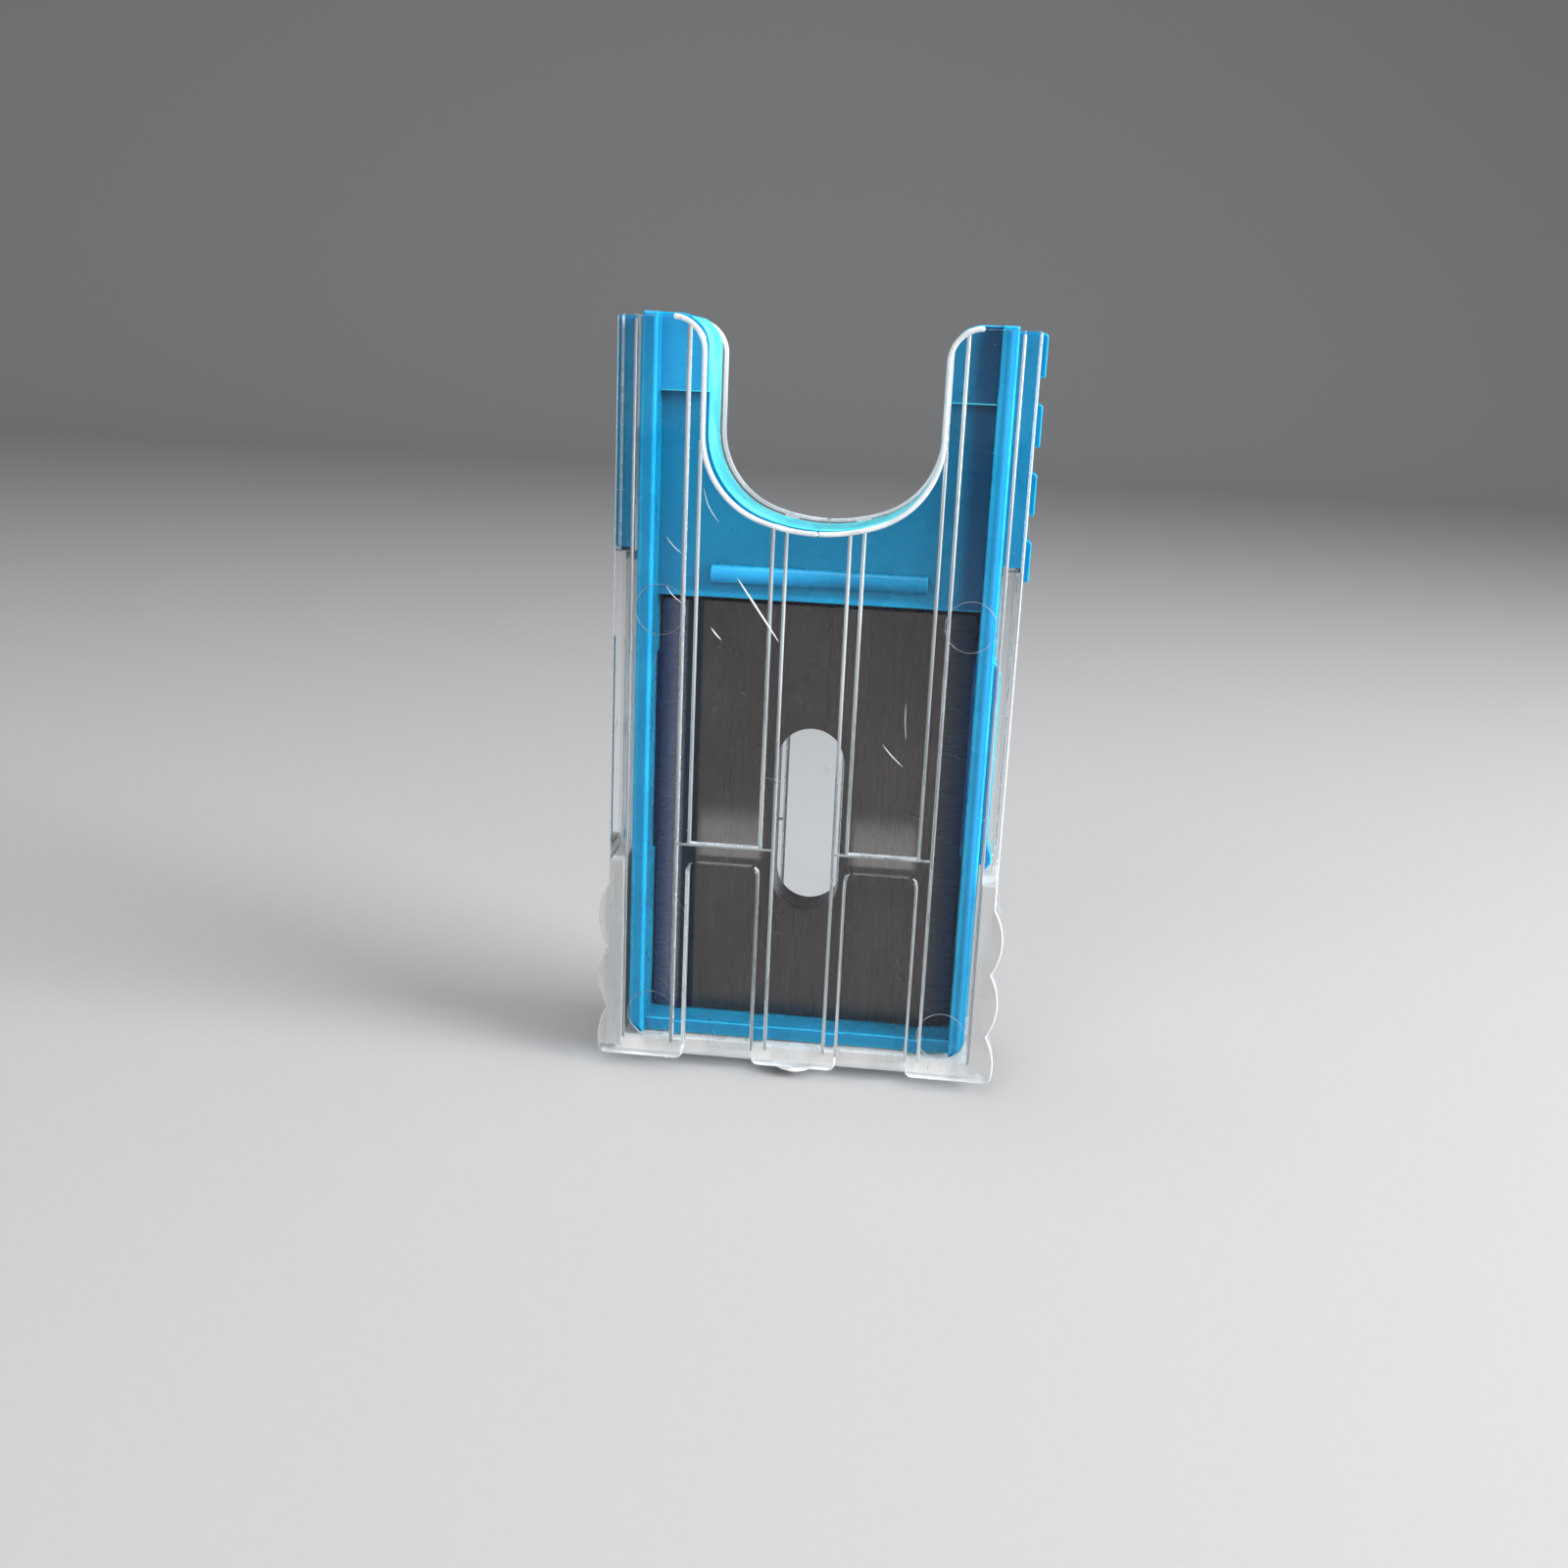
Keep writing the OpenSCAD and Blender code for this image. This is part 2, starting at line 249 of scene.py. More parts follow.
def shader_group(name: str, gives: str, *numbers: str) -> tuple[Tree, bpy.types.bpy_prop_collection, NodeSocket]:
    """Starts a shader node group that reads coordinates and numbers and gives one number.

    Args:
        name: Name of the group.
        gives: Name of its output.
        numbers: Names of its number inputs, which follow its Vector input.

    Returns:
        The tree, what the group is given by name, and the input that its result goes to.
    """
    data = bpy.data.node_groups.new(name, "ShaderNodeTree")
    data.interface.new_socket(name="Vector", in_out="INPUT", socket_type="NodeSocketVector")
    for number in numbers:
        data.interface.new_socket(name=number, in_out="INPUT", socket_type="NodeSocketFloat")
    data.interface.new_socket(name=gives, in_out="OUTPUT", socket_type="NodeSocketFloat")
    tree = Tree(data)
    given, result = data.nodes.new("NodeGroupInput"), data.nodes.new("NodeGroupOutput")
    return tree, given.outputs, result.inputs[gives]


class Effect(Enum):
    """Surface effects that more than one finish uses, each a shader node group."""

    SCRATCHES = "fine_scratches"
    SKIN = "moulded_skin"
    CLOUDS = "clouds"

    def place(self, tree: Tree, place: NodeSocket, **inputs: object) -> NodeSocket:
        """Puts this effect into a material.

        Args:
            tree: The material's tree.
            place: Coordinates.
            inputs: Values for the group's numbers, by name with _ for each space.

        Returns:
            The group's only output.
        """
        group = bpy.data.node_groups.get(self.value) or BUILDERS[self]()
        return tree.add("Group", {"node_tree": group}, Vector=place, **inputs).outputs[0]


def build_scratches() -> NodeTree:
    """Builds fine scratches: thin level lines of three noises stretched along crossing ways, each broken up.

    Returns:
        The group, whose Mask is 1 in a scratch.
    """
    tree, given, result = shader_group(Effect.SCRATCHES.value, "Mask", "Scale", "Width")
    mask = 0.0
    for angle, spread in ((31.0, 0.055), (-24.0, 0.04), (78.0, 0.05)):
        wave = tree.noise(tree.turned(given["Vector"], (1.0, 1.0, spread), angle), given["Scale"], 1.0)
        off = tree.maths("ABSOLUTE", tree.maths("SUBTRACT", wave, 0.5))
        thin = tree.maths("SUBTRACT", 1.0, tree.maths("DIVIDE", off, given["Width"]))
        part = tree.noise(tree.turned(given["Vector"], (1.0, 1.0, 0.6), angle), 260.0 + 3 * angle)
        line = tree.maths("MULTIPLY", tree.maths("MAXIMUM", thin, 0.0), tree.ramp(part, 0.6, 0.69))
        mask = tree.maths("MAXIMUM", mask, line)
    tree.feed(result, mask)
    return tree.tree


def build_skin() -> NodeTree:
    """Builds the skin of a moulding: slow ripples of the mould plus a fine grain.

    Returns:
        The group, whose Height goes from 0 to 1.
    """
    tree, given, result = shader_group(Effect.SKIN.value, "Height", "Ripple Scale", "Grain Scale", "Grain Share")
    ripple = tree.noise(given["Vector"], given["Ripple Scale"], 1.0)
    grain = tree.noise(given["Vector"], given["Grain Scale"])
    rest = tree.maths("SUBTRACT", 1.0, given["Grain Share"])
    tree.feed(result, tree.maths("ADD", tree.maths("MULTIPLY", ripple, rest),
                                 tree.maths("MULTIPLY", grain, given["Grain Share"])))
    return tree.tree


def build_clouds() -> NodeTree:
    """Builds soft clouds, for uneven colour in a moulding and for handling marks.

    Returns:
        The group, whose Mask goes from 0 to 1.
    """
    tree, given, result = shader_group(Effect.CLOUDS.value, "Mask", "Scale", "Low", "High")
    tree.feed(result, tree.ramp(tree.noise(given["Vector"], given["Scale"], 4.0), given["Low"], given["High"]))
    return tree.tree


BUILDERS = {Effect.SCRATCHES: build_scratches, Effect.SKIN: build_skin, Effect.CLOUDS: build_clouds}


def new_material(name: str) -> tuple[Material, Tree, NodeSocket]:
    """Starts a material.

    Args:
        name: Name of the material.

    Returns:
        The material, its emptied tree and the piece's own coordinates.
    """
    material = bpy.data.materials.new(name)
    material.use_nodes = True
    tree = Tree(material.node_tree)
    return material, tree, tree.add("TexCoord").outputs["Object"]


# ---- Finishes ----


@dataclass(frozen=True)
class PaintedLightPatch:
    """One soft-edged box of another tone: painted light and shade laid over a surface's colour.

    Its stretches along X, Y and Z are in millimetres. A patch for both sides takes X without its sign.
    """

    colour: Colour
    x: Stretch
    y: Stretch
    z: Stretch
    share: float = 0.85
    both_sides: bool = False

    def lay(self, tree: Tree, place: NodeSocket, colour: NodeSocket) -> NodeSocket:
        """Blends the patch over a colour.

        Args:
            tree: The material's tree.
            place: The piece's own coordinates.
            colour: The colour under the patch.

        Returns:
            The blended colour.
        """
        x, y, z = tree.add("SeparateXYZ", Vector=place).outputs
        if self.both_sides:
            x = tree.maths("ABSOLUTE", x)
        mask = self.share
        for socket, (start, full, last, end) in zip((x, y, z), (self.x, self.y, self.z)):
            rise, fall = tree.ramp(socket, start * MM, full * MM), tree.ramp(socket, end * MM, last * MM)
            mask = tree.maths("MULTIPLY", mask, tree.maths("MULTIPLY", rise, fall))
        return tree.blend(mask, colour, self.colour)


@dataclass(frozen=True)
class ClearPlastic:
    """Clear glossy moulded plastic with fine scratches and handling haze, dull at the finger bumps and the foot.

    The plastic bends and mirrors light as glass does, and lets the light of the lamps through to what it holds. It
    turns dull from the first to the second number of each dull stretch, in millimetres.
    """

    name: str = "clear_plastic"
    tint: Colour = (0.955, 0.975, 0.985)
    shade: Colour = (0.93, 0.95, 0.96)
    ior: float = 1.46
    gleam: float = 0.4
    polish: float = 0.015
    haze: float = 0.05
    scratch_roughness: float = 0.4
    scratch_depth: float = 0.5
    dull_roughness: float = 0.34
    dull_side: Pair = (17.2, 17.7)
    dull_below: Pair = (21.5, 20.5)
    dull_foot: Pair = (2.6, 1.8)

    def material(self) -> Material:
        """Builds the material.

        Returns:
            The finished material.
        """
        material, tree, place = new_material(self.name)
        scratches = Effect.SCRATCHES.place(tree, place, Scale=120.0, Width=0.006)
        clouds = Effect.CLOUDS.place(tree, place, Scale=140.0, Low=0.52, High=0.75)
        skin = Effect.SKIN.place(tree, place, Ripple_Scale=190.0, Grain_Scale=2600.0, Grain_Share=0.003)
        x, _, z = tree.add("SeparateXYZ", Vector=place).outputs
        bumps, low, foot = (tree.ramp(value, start * MM, end * MM) for value, (start, end) in (
            (tree.maths("ABSOLUTE", x), self.dull_side), (z, self.dull_below), (z, self.dull_foot)))
        dull = tree.maths("MAXIMUM", foot, tree.maths("MULTIPLY", bumps, low))
        worn = tree.maths("MAXIMUM", tree.maths("MULTIPLY", scratches, self.scratch_roughness),
                          tree.maths("MULTIPLY", dull, self.dull_roughness))
        roughness = tree.maths("MAXIMUM", tree.ramp(clouds, 0.0, 1.0, self.polish, self.haze), worn)
        height = tree.maths("SUBTRACT", skin, tree.maths("MULTIPLY", scratches, self.scratch_depth))
        bump = tree.add("Bump", Height=height, Strength=0.5, Distance=0.008 * MM)
        glass = tree.add("BsdfPrincipled", Base_Color=self.tint, Metallic=0.0, IOR=self.ior,
                         Transmission_Weight=1.0, Roughness=roughness, Normal=bump.outputs[0],
                         Specular_Tint=(self.gleam,) * 3)
        tree.finish(glass, self.shade)
        return material


@dataclass(frozen=True)
class BluePlastic:
    """Blue plastic that lets some light in: satin, slightly cloudy, with a fine moulded grain."""

    name: str = "blue_plastic"
    colour: Colour = (0.0, 0.182, 0.335)
    pale: Colour = (0.0, 0.205, 0.365)
    roughness: Pair = (0.24, 0.38)
    scratch_roughness: float = 0.25
    gleam: float = 0.25
    depth_of_light: Triple = (0.3, 1.2, 2.2)
    # Boxes of painted light and shade laid over the colour
    painted_light_patches: tuple[PaintedLightPatch, ...] = ()

    def material(self) -> Material:
        """Builds the material.

        Returns:
            The finished material.
        """
        material, tree, place = new_material(self.name)
        clouds = Effect.CLOUDS.place(tree, place, Scale=230.0, Low=0.35, High=0.7)
        skin = Effect.SKIN.place(tree, place, Ripple_Scale=260.0, Grain_Scale=4200.0, Grain_Share=0.35)
        scratches = Effect.SCRATCHES.place(tree, place, Scale=170.0, Width=0.005)
        roughness = tree.maths("ADD", tree.ramp(clouds, 0.0, 1.0, *self.roughness),
                               tree.maths("MULTIPLY", scratches, self.scratch_roughness))
        bump = tree.add("Bump", Height=skin, Strength=0.6, Distance=0.03 * MM)
        colour = tree.blend(clouds, self.colour, self.pale)
        # Lays the painted light and shade on
        for patch in self.painted_light_patches:
            colour = patch.lay(tree, place, colour)
        tree.finish(tree.add(
            "BsdfPrincipled", Base_Color=colour, Roughness=roughness, IOR=1.5, Normal=bump.outputs[0], Metallic=0.0,
            Subsurface_Weight=0.6, Subsurface_Scale=1.0 * MM, Subsurface_Radius=self.depth_of_light,
            Specular_IOR_Level=self.gleam))
        return material


@dataclass(frozen=True)
class BladeSteel:
    """Dark polished blade steel, lighter and lined across on the strip ground along each long edge.

    A painted reflection, a soft lighter band, lies across the face on both sides of the slot. Past the strips' start,
    and past a line on the left, the colour follows a list of levels across the blade, in millimetres: the ground
    strips' own lighter tone, with painted shade and painted blue reflections of the tray's walls near both sides.
    """

    name: str = "blade_steel"
    face: Colour = (0.086, 0.076, 0.074)
    stain: Colour = (0.11, 0.095, 0.09)
    # Painted reflection: a lighter soft band laid into the face's colour on both sides of the slot
    painted_reflection: PaintedLightPatch = PaintedLightPatch((0.29, 0.262, 0.25), (3.7, 4.7, 9.5, 10.5), (-9.0, -8.0, 8.0, 9.0),
                        (19.5, 19.8, 21.5, 25.0), 1.0, both_sides=True)
    strip: Pair = (11.58, 11.62)
    left_line: Pair = (-10.2, -10.3)
    roughness: Pair = (0.25, 0.29)
    scratch_roughness: float = 0.3
    rolled_scale: float = 1600.0
    cut_scale: float = 2600.0
    # Levels across the blade: the ground strips' own lighter tone, with painted shade beside the tray's walls and
    # painted blue reflections of them at both sides
    across: tuple[tuple[float, Colour], ...] = (
        (-14.0, (0.075, 0.075, 0.13)),
        (-12.8, (0.16, 0.158, 0.22)),
        (-11.7, (0.14, 0.148, 0.19)),
        (-11.5, (0.015, 0.03, 0.05)),
        (11.6, (0.07, 0.07, 0.075)),
        (12.6, (0.03, 0.04, 0.06)),
        (14.0, (0.0, 0.03, 0.08)),
    )

    def material(self) -> Material:
        """Builds the material.

        Returns:
            The finished material.
        """
        material, tree, place = new_material(self.name)
        x = tree.add("SeparateXYZ", Vector=place).outputs[0]
        edge = tree.ramp(tree.maths("ABSOLUTE", x), *(level * MM for level in self.strip))
        clouds = Effect.CLOUDS.place(tree, place, Scale=90.0, Low=0.4, High=0.75)
        scratches = Effect.SCRATCHES.place(tree, place, Scale=150.0, Width=0.006)
        rolled = tree.noise(tree.turned(place, (1.0, 1.0, 0.012)), self.rolled_scale)
        cut = tree.noise(tree.turned(place, (0.02, 1.0, 1.0)), self.cut_scale)
        lines = tree.add("Mix", {"data_type": "FLOAT"}, Factor=edge)
        tree.feed(lines.inputs[2], rolled)
        tree.feed(lines.inputs[3], cut)
        roughness = tree.maths("ADD", tree.ramp(lines.outputs[0], 0.3, 0.7, *self.roughness),
                               tree.maths("MULTIPLY", scratches, self.scratch_roughness))
        # Painted shade and painted blue reflections of the tray's walls, with the strips' own tone, laid on past the
        # strips and past the line on the left
        half = self.across[-1][0] * MM
        strip_and_shade_bands = tree.add("ValToRGB", Fac=tree.maths("DIVIDE", tree.maths("ADD", x, half), 2 * half))
        stops = strip_and_shade_bands.color_ramp.elements
        for level, _ in self.across[1:-1]:
            stops.new((level * MM + half) / (2 * half))
        for stop, (_, colour) in zip(stops, self.across):
            stop.color = (*colour, 1.0)
        # The face's own clouded tone with the painted reflection band laid over it
        face = self.painted_reflection.lay(tree, place, tree.blend(clouds, self.face, self.stain))
        outer = tree.maths("MAXIMUM", edge, tree.ramp(x, *(level * MM for level in self.left_line)))
        tree.finish(tree.add("BsdfPrincipled", Base_Color=tree.blend(outer, face, strip_and_shade_bands.outputs[0]), Metallic=1.0,
                             Roughness=roughness))
        return material


@dataclass(frozen=True)
class FrostAndPaintedLightPlastic:
    """Whitish plastic that spreads the light that falls on it: the frosted outer sides, and white coats of painted
    highlight on roundings and beads and of painted light inside thick walls.

    Its colour goes over in clouds to a clearer one, if there is one. The clouds are drawn out along Z.
    """

    name: str = "soft_painted_glint_plastic"
    colour: Colour = (0.46, 0.465, 0.465)
    clearer: Colour | None = (0.30, 0.315, 0.325)
    transmission: float = 0.55
    roughness: Pair = (0.25, 0.45)
    shade: Colour = (0.8, 0.82, 0.83)
    cloud_scale: float = 420.0
    cloud_squeeze: float = 0.12
    worn_skin: bool = False

    def material(self) -> Material:
        """Builds the material.

        Returns:
            The finished material.
        """
        material, tree, place = new_material(self.name)
        clouds = Effect.CLOUDS.place(tree, tree.turned(place, (1.0, 1.0, self.cloud_squeeze)), Low=0.35, High=0.7,
                                     Scale=self.cloud_scale)
        colour = tree.blend(clouds, self.clearer, self.colour) if self.clearer else self.colour
        plastic = tree.add("BsdfPrincipled", Base_Color=colour, Metallic=0.0, IOR=1.45,
                           Transmission_Weight=self.transmission,
                           Roughness=tree.ramp(clouds, 0.0, 1.0, *self.roughness))
        if self.worn_skin:
            skin = Effect.SKIN.place(tree, place, Ripple_Scale=900.0, Grain_Scale=8000.0, Grain_Share=0.5)
            bump = tree.add("Bump", Height=skin, Strength=0.5, Distance=0.02 * MM)
            tree.feed(plastic.inputs["Normal"], bump.outputs[0])
        tree.finish(plastic, self.shade)
        return material


@dataclass(frozen=True)
class ScoredPlastic:
    """White, broken plastic inside a deep scratch."""

    name: str = "scored_plastic"
    colour: Colour = (0.82, 0.84, 0.85)
    white: Colour = (1.0, 1.0, 1.0)
    roughness: Pair = (0.35, 0.6)

    def material(self) -> Material:
        """Builds the material.

        Returns:
            The finished material.
        """
        material, tree, place = new_material(self.name)
        grain = tree.noise(place, 9000.0)
        tree.finish(tree.add("BsdfPrincipled", Base_Color=tree.blend(grain, self.colour, self.white), Metallic=0.0,
                             Roughness=tree.ramp(grain, 0.2, 0.8, *self.roughness)))
        return material


@dataclass(frozen=True)
class StudioPaint:
    """Pale matt paint of the floor and the sweep behind it."""

    name: str = "studio_paint"
    colour: Colour = (0.37, 0.37, 0.375)
    darker: Colour = (0.3589, 0.3589, 0.36375)

    def material(self) -> Material:
        """Builds the material.

        Returns:
            The finished material.
        """
        material, tree, place = new_material(self.name)
        grain = tree.noise(place, 900.0)
        tree.finish(tree.add("BsdfPrincipled", Base_Color=tree.blend(grain, self.colour, self.darker),
                             Roughness=0.75, Metallic=0.0, Specular_IOR_Level=0.2))
        return material


# ---- Meshes ----


def arc(centre: Pair, radius: float, start: float, end: float, count: int = ARC_POINTS) -> np.ndarray:
    """Works out an arc: its centre plus the radius times the cosine and the sine of an evenly growing angle.

    Args:
        centre: X and Z of the centre.
        radius: Radius.
        start: Angle of the first point in radians.
        end: Angle of the last point in radians.
        count: Number of points.

    Returns:
        Points in X and Z, one row each.
    """
    turn = np.linspace(start, end, count)
    return np.array(centre) + radius * np.stack([np.cos(turn), np.sin(turn)], axis=-1)


def grid_surface(x: np.ndarray, y: np.ndarray, z: np.ndarray, around: bool = True) -> Surface:
    """Joins a grid of points, whose number is row times columns plus column, into quads.

    Args:
        x: X of each point in millimetres, in rows and columns.
        y: Y of each point.
        z: Z of each point.
        around: Whether the last column joins the first.

    Returns:
        The surface.
    """
    points = np.stack(np.broadcast_arrays(x, y, z), axis=-1)
    rows, columns, _ = points.shape
    row, column = np.meshgrid(np.arange(rows - 1), np.arange(columns if around else columns - 1), indexing="ij")
    after = (column + 1) % columns
    corners = [row * columns + column, row * columns + after, (row + 1) * columns + after,
               (row + 1) * columns + column]
    return points.reshape(-1, 3) * MM, np.stack(corners, axis=-1).reshape(-1, 4)


def linked(name: str, data: bpy.types.ID) -> Object:
    """Makes an object at the origin.

    Args:
        name: Name of the object.
        data: Its mesh, lamp or camera.

    Returns:
        The object, linked to the scene.
    """
    thing = bpy.data.objects.new(name, data)
    bpy.context.scene.collection.objects.link(thing)
    return thing


def new_piece(name: str, *surfaces: Surface) -> Object:
    """Makes one mesh object from surfaces.

    Args:
        name: Name of the piece.
        surfaces: Its surfaces.

    Returns:
        The object, linked to the scene.
    """
    before = np.cumsum([0] + [len(points) for points, _ in surfaces])
    points = np.concatenate([points for points, _ in surfaces])
    faces = np.concatenate([faces + count for (_, faces), count in zip(surfaces, before)])
    mesh = bpy.data.meshes.new(name)
    mesh.from_pydata(points.tolist(), [], faces.tolist())
    mesh.validate()
    mesh.shade_smooth()
    return linked(name, mesh)


def read_values(items: bpy.types.bpy_prop_collection, name: str, width: int, kind: type) -> np.ndarray:
    """Reads one property of all items of a mesh.

    Args:
        items: Its faces or face corners.
        name: Name of the property.
        width: Numbers per item.
        kind: Type of the numbers.

    Returns:
        The numbers, one row per item where there are several.
    """
    values = np.empty(len(items) * width, kind)
    items.foreach_get(name, values)
    return values.reshape(-1, width) if width > 1 else values


def set_corner_normals(mesh: Mesh) -> None:
    """Gives a mesh its own normal at each face corner.

    The faces that are not roundings are taken in groups round each point, as far as the edges between them turn
    less than a crease, and a group's normal is the sum of its faces' normals times the square of their areas. So a
    flat face stays flat. A corner of a rounding takes the normal of the group at its point that comes nearest to its
    own, and where there is none, the sum of the roundings there times their areas. The edges of the roundings and
    those across which the normals jump are marked sharp.

    Args:
        mesh: The mesh.
    """
    normal, area = read_values(mesh.polygons, "normal", 3, float), read_values(mesh.polygons, "area", 1, float)
    total, start = (read_values(mesh.polygons, name, 1, int) for name in ("loop_total", "loop_start"))
    point, edge = (read_values(mesh.loops, name, 1, int) for name in ("vertex_index", "edge_index"))
    rounding = read_values(mesh.polygons, "material_index", 1, int) == ROUNDING
    face = np.repeat(np.arange(len(total)), total)
    ahead = np.arange(len(point)) + 1
    ahead = np.where(ahead == (start + total)[face], start[face], ahead)
    order = np.argsort(edge, kind="stable")
    shared = edge[order[:-1]] == edge[order[1:]]
    here, there = order[:-1][shared], order[1:][shared]
    turn = np.einsum("ij,ij->i", normal[face[here]], normal[face[there]])
    alike = rounding[face[here]] == rounding[face[there]]
    kept = (turn > math.cos(math.radians(CREASE))) & alike | rounding[face[here]] & rounding[face[there]]
    one, two = here[kept], there[kept]
    pairs = np.concatenate([np.stack([one, ahead[two]]), np.stack([ahead[one], two])], axis=1)
    group = np.arange(len(point))
    for _ in range(GROUP_ROUNDS):
        lowest = np.minimum(group[pairs[0]], group[pairs[1]])
        np.minimum.at(group, pairs[0], lowest)
        np.minimum.at(group, pairs[1], lowest)
    summed = np.zeros((len(point), 3))
    weight = np.where(rounding, area, area ** 2)
    np.add.at(summed, group, (normal * weight[:, None])[face])
    result = summed[group] / np.linalg.norm(summed[group], axis=1)[:, None]
    plain = np.flatnonzero(~rounding[face])
    plain = plain[np.argsort(point[plain], kind="stable")]
    first = np.searchsorted(point[plain], point)
    last = np.searchsorted(point[plain], point, side="right")
    best, found = np.full(len(point), NEAR_WAY), result.copy()
    for step in range(int((last - first).max())):
        choice = plain[np.minimum(first + step, len(plain) - 1)]
        match = np.where(first + step < last, np.einsum("ij,ij->i", result[choice], normal[face]), -1.0)
        better = rounding[face] & (match > best)
        found[better], best = result[choice][better], np.where(better, match, best)
    jump = np.einsum("ij,ij->i", found[here], found[ahead[there]]) < SAME_WAY
    jump |= np.einsum("ij,ij->i", found[ahead[here]], found[there]) < SAME_WAY
    sharp = np.zeros(len(mesh.edges), bool)
    sharp[edge[here]] = jump | ~alike
    mesh.attributes.new("sharp_edge", "BOOLEAN", "EDGE").data.foreach_set("value", sharp)
    mesh.normals_split_custom_set(found.tolist())


# ---- Sub-assemblies ----


class SleeveFace(IntEnum):
    """Material numbers of the sleeve. The second is a white coat of painted highlight and the third a whiter coat of
    painted light.
    """

    CLEAR = 0
    PAINTED_GLINT = 1
    PAINTED_GLOW = 2
    FROSTED = 3
    BROKEN = 4


class TrayFace(IntEnum):
    """Material numbers of the tray: plain, and two lighter copies of the blue that are painted light."""

    PLAIN = 0
    PAINTED_LIT_EDGE = 1
    PAINTED_LIT_WALL = 2


@dataclass(frozen=True)
class Zone:
    """A box of faces, alike on both sides of the middle and in front and behind.

    It lies between two numbers of X, Y and Z in millimetres, where X and Y are taken without their signs.
    """

    x: Pair = (-1.0, 99.0)
    y: Pair = (-1.0, 99.0)
    z: Pair = (-1.0, 99.0)

    def holds(self, middle: Vector) -> bool:
        """Tells whether a point lies in the zone."""
        return all(low < value < high for value, (low, high) in zip(
            (abs(middle.x), abs(middle.y), middle.z), (self.x, self.y, self.z)))


@dataclass
class Moulding:
    """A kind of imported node: its body and slot, the width of its roundings and the number of faces across one."""

    body: Body = Body.TRAY
    slot: Slot = Slot.STEEL
    edge_radius: float = 0.015 * MM
    edge_segments: int = 2
    weld: float = 0.002 * MM
    flat_angle: float = 0.5

    def rounded(self, middle: Vector, outward: bool) -> float:
        """Chooses the share of the radius that an edge is rounded to, from its middle in millimetres."""
        return float(outward)

    def finish(self, middle: Vector, normal: Vector, rounding: bool) -> int:
        """Chooses the material number of a face, from its middle in millimetres and its normal."""
        return int(rounding)

    def softened(self, node: str, name: str) -> Object:
        """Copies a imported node, joins its loose triangles into clean faces and rounds its edges.

        Args:
            node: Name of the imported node.
            name: Name of the new piece.

        Returns:
            The piece, which replaces the node.
        """
        cleaned = bmesh.new()
        cleaned.from_mesh(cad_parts[node].data)
        bmesh.ops.remove_doubles(cleaned, verts=cleaned.verts, dist=self.weld)
        bmesh.ops.dissolve_limit(cleaned, angle_limit=math.radians(self.flat_angle), verts=cleaned.verts,
                                 edges=cleaned.edges)
        weight = cleaned.edges.layers.float.new("bevel_weight_edge")
        for edge in cleaned.edges:
            angle = math.degrees(edge.calc_face_angle_signed(0.0))
            middle = (edge.verts[0].co + edge.verts[1].co) / (2 * MM)
            edge[weight] = self.rounded(middle, angle > 0) if abs(angle) > CREASE else 0.0
        mesh = bpy.data.meshes.new(name)
        cleaned.to_mesh(mesh)
        cleaned.free()
        mesh.materials.clear()
        for _ in SleeveFace:
            mesh.materials.append(None)
        mesh.shade_smooth()
        piece = linked(name, mesh)
        rounding = piece.modifiers.new("rounded_edges", "BEVEL")
        rounding.width = self.edge_radius
        rounding.segments = self.edge_segments
        rounding.limit_method = "WEIGHT"
        rounding.use_clamp_overlap = False
        rounding.material = ROUNDING
        evaluated = piece.evaluated_get(bpy.context.evaluated_depsgraph_get())
        piece.data = bpy.data.meshes.new_from_object(evaluated)
        piece.modifiers.clear()
        bpy.data.meshes.remove(mesh)
        piece.data.name = name
        set_corner_normals(piece.data)
        for face in piece.data.polygons:
            face.material_index = self.finish(face.center / MM, face.normal, face.material_index == ROUNDING)
        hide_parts(node)
        return piece

    def dress(self, piece: Object, *materials: Material) -> None:
        """Gives a piece its finishes and its body, and reports it with the record's slot.

        Args:
            piece: The piece.
            materials: Its finishes, in the order of its faces' material numbers.
        """
        slots = piece.data.materials
        for number, material in enumerate(materials):
            if number < len(slots):
                slots[number] = material
            else:
                slots.append(material)
        while len(slots) > len(materials):
            slots.pop()
        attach(piece, self.body.value)
        log.info("piece %s rides on %s, slot %s", piece.name, self.body.value, self.slot.value)


@dataclass(frozen=True)
class Scratch:
    """One deep scratch on the front face, from one point to another, in millimetres."""

    start: Pair
    end: Pair
    width: float
    bow: float = 0.0


class Tone(Enum):
    """How bright a bead of painted highlight is: names of the pieces that the beads are built as."""

    BRIGHT = "bright_painted_glints"
    SOFT = "soft_painted_glints"
    FAINT = "faint_painted_glints"


@dataclass(frozen=True)
class GlintBead:
    """One bead of painted highlight along an edge: points in X and Z, depth in front of the middle and radius, in
    millimetres.
    """

    path: np.ndarray
    depth: float
    radius: float
    tone: Tone
    front_only: bool = False


